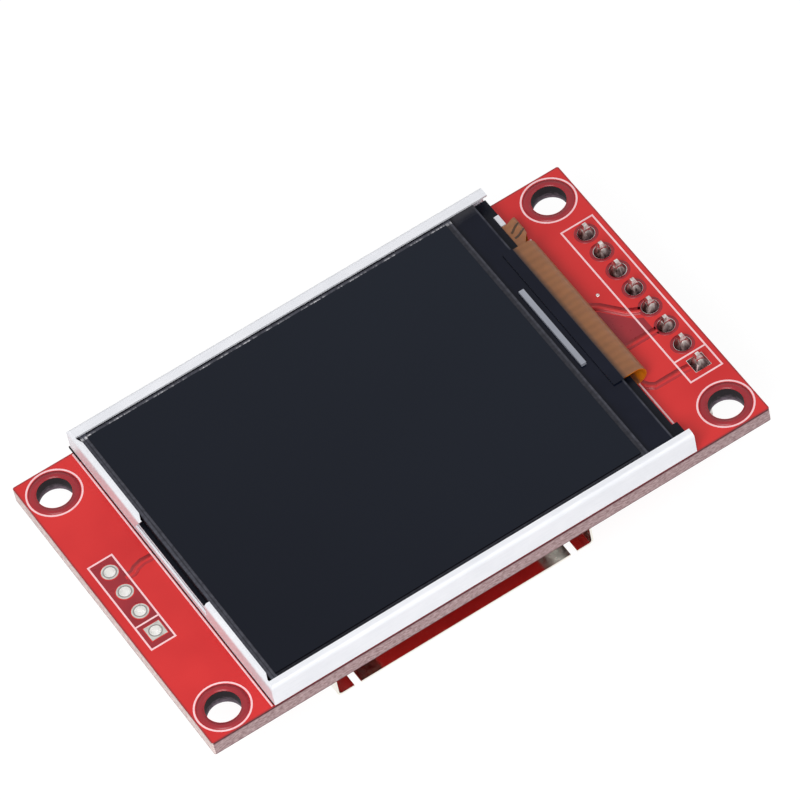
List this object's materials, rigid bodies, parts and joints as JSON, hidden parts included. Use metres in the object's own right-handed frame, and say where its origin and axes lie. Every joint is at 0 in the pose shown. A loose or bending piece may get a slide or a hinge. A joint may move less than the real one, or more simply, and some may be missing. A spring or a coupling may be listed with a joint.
{
  "type": "tft display module",
  "caption": "Small colour screen in a bright steel tray on a red circuit board, with corner mounting holes, a pin header, a row of plated holes and a memory card socket underneath.",
  "frame": {"origin": "centre of the four mounting holes, on the board's upper face, the face that carries the screen", "axes": "+X along the board's long side to the pin header end, +Y across to the long side opposite the card socket's mouth, +Z out of the screen"},
  "size_m": [0.0564, 0.0341, 0.0128],
  "materials": {
    "board_mask": "glossy red solder mask over woven glass laminate",
    "print": "thin white screen print with a pink cast",
    "tinned_copper": "hot-tinned copper, bright and slightly uneven",
    "pin_metal": "tin-plated square bar",
    "solder": "bright solder",
    "black_plastic": "moulded black plastic",
    "black_tape": "black foam tape",
    "black_film": "black film",
    "reflector": "bright white reflector film",
    "clear_plastic": "clear moulded plastic",
    "diffuser": "milky film",
    "prism_film": "fine-ribbed clear film",
    "white_plastic": "moulded white plastic",
    "diode_body": "white body with a pale yellow lens",
    "polyimide": "translucent amber film",
    "polariser": "blue-black film, satin",
    "dark_glass": "glass over a black mask",
    "silicon": "ground silicon, pale grey",
    "tray_steel": "thin bright sheet steel, satin",
    "cover_steel": "nickel-plated sheet steel",
    "spring_brass": "gold-plated spring strip",
    "brown_ceramic": "fired brown ceramic",
    "black_ceramic": "black-coated ceramic"
  },
  "bodies": {
    "root": {"board": "board_mask", "board_legend": "print", "header_lands": "tinned_copper", "signal_lands": "tinned_copper", "header_pins": "pin_metal", "header_housing": "black_plastic", "header_solder": "solder", "mounting_tape": "black_tape", "reflector_sheet": "reflector", "light_guide": "clear_plastic", "diffuser_sheet": "diffuser", "lower_prism_sheet": "prism_film", "upper_prism_sheet": "prism_film", "backlight_frame": "white_plastic", "backlight_diodes": "diode_body", "diode_cable": "polyimide", "shading_tape": "black_film", "rear_polariser": "polariser", "rear_glass": "dark_glass", "front_glass": "dark_glass", "front_polariser": "polariser", "driver_chip": "silicon", "flex_cable": "polyimide", "bond_cover": "black_film", "flex_lands": "tinned_copper", "flex_solder": "solder", "display_tray": "tray_steel", "socket_base": "black_plastic", "socket_cover": "cover_steel", "socket_contacts": "spring_brass", "switch_contacts": "spring_brass", "socket_lands": "tinned_copper", "socket_solder": "solder", "regulator_body": "black_plastic", "regulator_leads": "tinned_copper", "capacitor_bodies": "brown_ceramic", "capacitor_caps": "tinned_copper", "resistor_bodies": "black_ceramic", "resistor_caps": "tinned_copper", "part_lands": "tinned_copper", "part_solder": "solder"}
  },
  "joints": []
}
